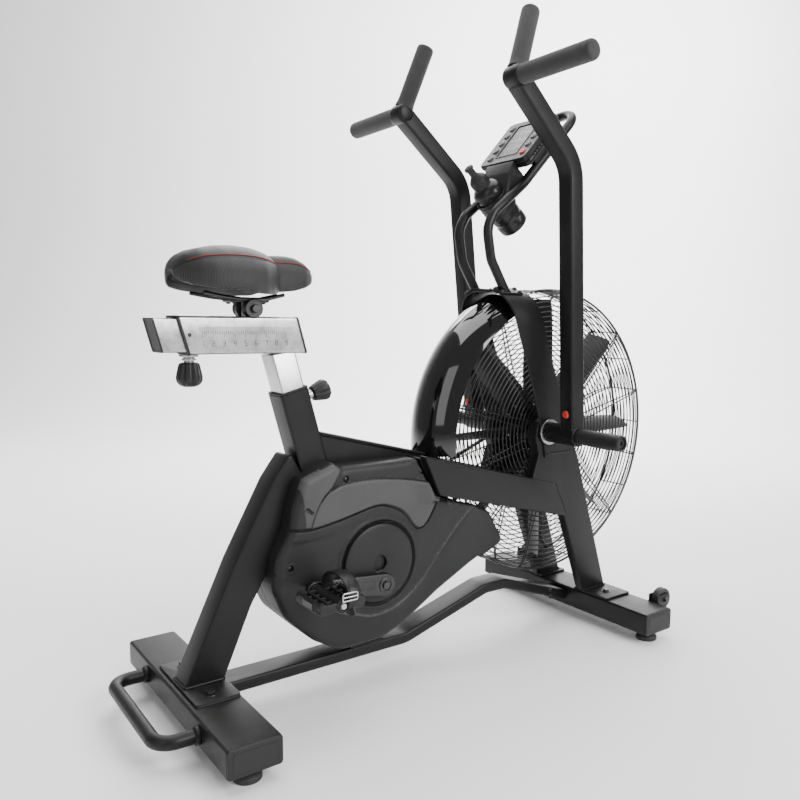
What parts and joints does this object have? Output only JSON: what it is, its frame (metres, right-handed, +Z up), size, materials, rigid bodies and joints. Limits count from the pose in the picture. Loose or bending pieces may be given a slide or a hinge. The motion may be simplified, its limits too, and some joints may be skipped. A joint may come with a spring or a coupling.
{
  "type": "air bike",
  "caption": "Fan-braked upright exercise bike with swinging handle arms, pedals, adjustable saddle, console and bottle.",
  "frame": {"origin": "middle of the bounding box on the floor plane", "axes": "+X from the saddle towards the fan, +Y to the rider's left, +Z up"},
  "size_m": [1.3256, 0.752, 1.3867],
  "materials": {
    "black_paint": "satin",
    "plastic_trim": "matt",
    "rubber_feet": "matt",
    "wheel_rubber": "matt",
    "machined_steel": "brushed",
    "peg_sleeve": "matt",
    "console_plastic": "satin",
    "red_key": "satin",
    "grey_key": "satin",
    "bottle_plastic": "gloss",
    "cover_plastic": "fine grain",
    "pedal_plastic": "satin",
    "strap_plastic": "matt",
    "chain_steel": "oiled",
    "fan_paint": "satin",
    "wire_paint": "gloss",
    "shroud_acrylic": "gloss",
    "grip_foam": "foam",
    "brushed_chrome": "brushed",
    "clamp_steel": "satin",
    "saddle_vinyl": "vinyl",
    "knob_plastic": "satin"
  },
  "bodies": {
    "frame": {"rear_beam": "black_paint", "front_beam": "black_paint", "beam_caps": "plastic_trim", "lift_handle": "black_paint", "base_tube": "black_paint", "seat_strut": "black_paint", "seat_tube": "black_paint", "spine_gusset": "black_paint", "fork_right": "black_paint", "fork_left": "black_paint", "arch_strap": "black_paint", "fixed_shafts": "machined_steel", "foot_pegs": "peg_sleeve", "console_tubes": "black_paint", "console_body": "console_plastic", "bottle_holder": "plastic_trim", "cover_right": "cover_plastic", "cover_left": "cover_plastic", "cover_discs": "cover_plastic", "drive_chain": "chain_steel", "cage_right": "wire_paint", "cage_left": "wire_paint", "cage_rim": "wire_paint", "shroud": "shroud_acrylic"},
    "foot_rr": {"foot_rear_right": "rubber_feet"},
    "foot_rl": {"foot_rear_left": "rubber_feet"},
    "foot_fr": {"foot_front_right": "rubber_feet"},
    "foot_fl": {"foot_front_left": "rubber_feet"},
    "wheel_r": {"wheel_right": "wheel_rubber"},
    "wheel_l": {"wheel_left": "wheel_rubber"},
    "cranks": {"crank_axle": "machined_steel", "crank_right": "clamp_steel", "crank_left": "clamp_steel"},
    "pedal_r": {"pedal_right": "pedal_plastic", "strap_right": "strap_plastic"},
    "pedal_l": {"pedal_left": "pedal_plastic", "strap_left": "strap_plastic"},
    "fan_rotor": {"fan": "fan_paint"},
    "arm_r": {"arm_right": "black_paint", "grips_right": "grip_foam"},
    "arm_l": {"arm_left": "black_paint", "grips_left": "grip_foam"},
    "post": {"seat_post": "brushed_chrome", "slider_housing": "brushed_chrome"},
    "carriage": {"seat_carriage": "brushed_chrome"},
    "seat": {"saddle": "saddle_vinyl", "saddle_clamp": "clamp_steel"},
    "slide_pin": {"slider_knob": "knob_plastic"},
    "post_pin": {"post_knob": "knob_plastic"},
    "drink": {"bottle": "bottle_plastic"},
    "pad_right_1": {"key_right_1": "red_key"},
    "pad_right_2": {"key_right_2": "grey_key"},
    "pad_right_3": {"key_right_3": "grey_key"},
    "pad_right_4": {"key_right_4": "grey_key"},
    "pad_right_5": {"key_right_5": "grey_key"},
    "pad_left_1": {"key_left_1": "grey_key"},
    "pad_left_2": {"key_left_2": "grey_key"},
    "pad_left_3": {"key_left_3": "grey_key"},
    "pad_left_4": {"key_left_4": "grey_key"},
    "pad_left_5": {"key_left_5": "grey_key"}
  },
  "joints": [
    {"name": "crank_spin", "type": "hinge", "parent": "frame", "child": "cranks", "pos_m": [-0.18125, 0, 0.216], "axis": [0, 1, 0], "continuous": true},
    {"name": "pedal_right_spin", "type": "hinge", "parent": "cranks", "child": "pedal_r", "pos_m": [-0.33969, -0.155, 0.23827], "axis": [0, 1, 0], "continuous": true},
    {"name": "pedal_left_spin", "type": "hinge", "parent": "cranks", "child": "pedal_l", "pos_m": [-0.02281, 0.155, 0.19373], "axis": [0, 1, 0], "continuous": true},
    {"name": "fan_spin", "type": "hinge", "parent": "frame", "child": "fan_rotor", "pos_m": [0.32275, 0, 0.483], "axis": [0, 1, 0], "continuous": true},
    {"name": "arm_right_swing", "type": "hinge", "parent": "frame", "child": "arm_r", "pos_m": [0.26975, -0.17, 0.4915], "axis": [0, 1, 0], "range_deg": [-10, 14]},
    {"name": "arm_left_swing", "type": "hinge", "parent": "frame", "child": "arm_l", "pos_m": [0.26975, 0.17, 0.4915], "axis": [0, 1, 0], "range_deg": [-14, 10]},
    {"name": "seat_height", "type": "slide", "parent": "frame", "child": "post", "axis": [-0.2672, 0, 0.9636], "range_m": [-0.04, 0.12]},
    {"name": "seat_slide", "type": "slide", "parent": "post", "child": "carriage", "axis": [1, 0, 0], "range_m": [-0.055, 0.045]},
    {"name": "saddle_tilt", "type": "hinge", "parent": "carriage", "child": "seat", "pos_m": [-0.42325, 0, 0.763], "axis": [0, 1, 0], "range_deg": [-4, 4]},
    {"name": "slide_pin_pull", "type": "slide", "parent": "post", "child": "slide_pin", "axis": [0, 0, -1], "range_m": [0, 0.008], "stiffness_N_per_m": 600},
    {"name": "post_pin_pull", "type": "slide", "parent": "frame", "child": "post_pin", "axis": [0.9636, 0, 0.2672], "range_m": [0, 0.01], "stiffness_N_per_m": 600},
    {"name": "wheel_right_spin", "type": "hinge", "parent": "frame", "child": "wheel_r", "pos_m": [0.53175, -0.234, 0.077], "axis": [0, 1, 0], "continuous": true},
    {"name": "wheel_left_spin", "type": "hinge", "parent": "frame", "child": "wheel_l", "pos_m": [0.53175, 0.234, 0.077], "axis": [0, 1, 0], "continuous": true},
    {"name": "foot_rear_right_level", "type": "slide", "parent": "frame", "child": "foot_rr", "axis": [0, 0, -1], "range_m": [0, 0.01]},
    {"name": "foot_rear_left_level", "type": "slide", "parent": "frame", "child": "foot_rl", "axis": [0, 0, -1], "range_m": [0, 0.01]},
    {"name": "foot_front_right_level", "type": "slide", "parent": "frame", "child": "foot_fr", "axis": [0, 0, -1], "range_m": [0, 0.01]},
    {"name": "foot_front_left_level", "type": "slide", "parent": "frame", "child": "foot_fl", "axis": [0, 0, -1], "range_m": [0, 0.01]},
    {"name": "bottle_lift", "type": "slide", "parent": "frame", "child": "drink", "axis": [-0.7815, 0, 0.6239], "range_m": [0, 0.12]},
    {"name": "press_right_1", "type": "slide", "parent": "frame", "child": "pad_right_1", "axis": [0.749, 0, -0.6626], "range_m": [0, 0.0018], "stiffness_N_per_m": 400},
    {"name": "press_right_2", "type": "slide", "parent": "frame", "child": "pad_right_2", "axis": [0.749, 0, -0.6626], "range_m": [0, 0.0018], "stiffness_N_per_m": 400},
    {"name": "press_right_3", "type": "slide", "parent": "frame", "child": "pad_right_3", "axis": [0.749, 0, -0.6626], "range_m": [0, 0.0018], "stiffness_N_per_m": 400},
    {"name": "press_right_4", "type": "slide", "parent": "frame", "child": "pad_right_4", "axis": [0.749, 0, -0.6626], "range_m": [0, 0.0018], "stiffness_N_per_m": 400},
    {"name": "press_right_5", "type": "slide", "parent": "frame", "child": "pad_right_5", "axis": [0.749, 0, -0.6626], "range_m": [0, 0.0018], "stiffness_N_per_m": 400},
    {"name": "press_left_1", "type": "slide", "parent": "frame", "child": "pad_left_1", "axis": [0.749, 0, -0.6626], "range_m": [0, 0.0018], "stiffness_N_per_m": 400},
    {"name": "press_left_2", "type": "slide", "parent": "frame", "child": "pad_left_2", "axis": [0.749, 0, -0.6626], "range_m": [0, 0.0018], "stiffness_N_per_m": 400},
    {"name": "press_left_3", "type": "slide", "parent": "frame", "child": "pad_left_3", "axis": [0.749, 0, -0.6626], "range_m": [0, 0.0018], "stiffness_N_per_m": 400},
    {"name": "press_left_4", "type": "slide", "parent": "frame", "child": "pad_left_4", "axis": [0.749, 0, -0.6626], "range_m": [0, 0.0018], "stiffness_N_per_m": 400},
    {"name": "press_left_5", "type": "slide", "parent": "frame", "child": "pad_left_5", "axis": [0.749, 0, -0.6626], "range_m": [0, 0.0018], "stiffness_N_per_m": 400}
  ],
  "couplings": [
    {"joint": "fan_spin", "follows": "crank_spin", "ratio": 3.6364},
    {"joint": "arm_left_swing", "follows": "arm_right_swing", "ratio": -1}
  ]
}
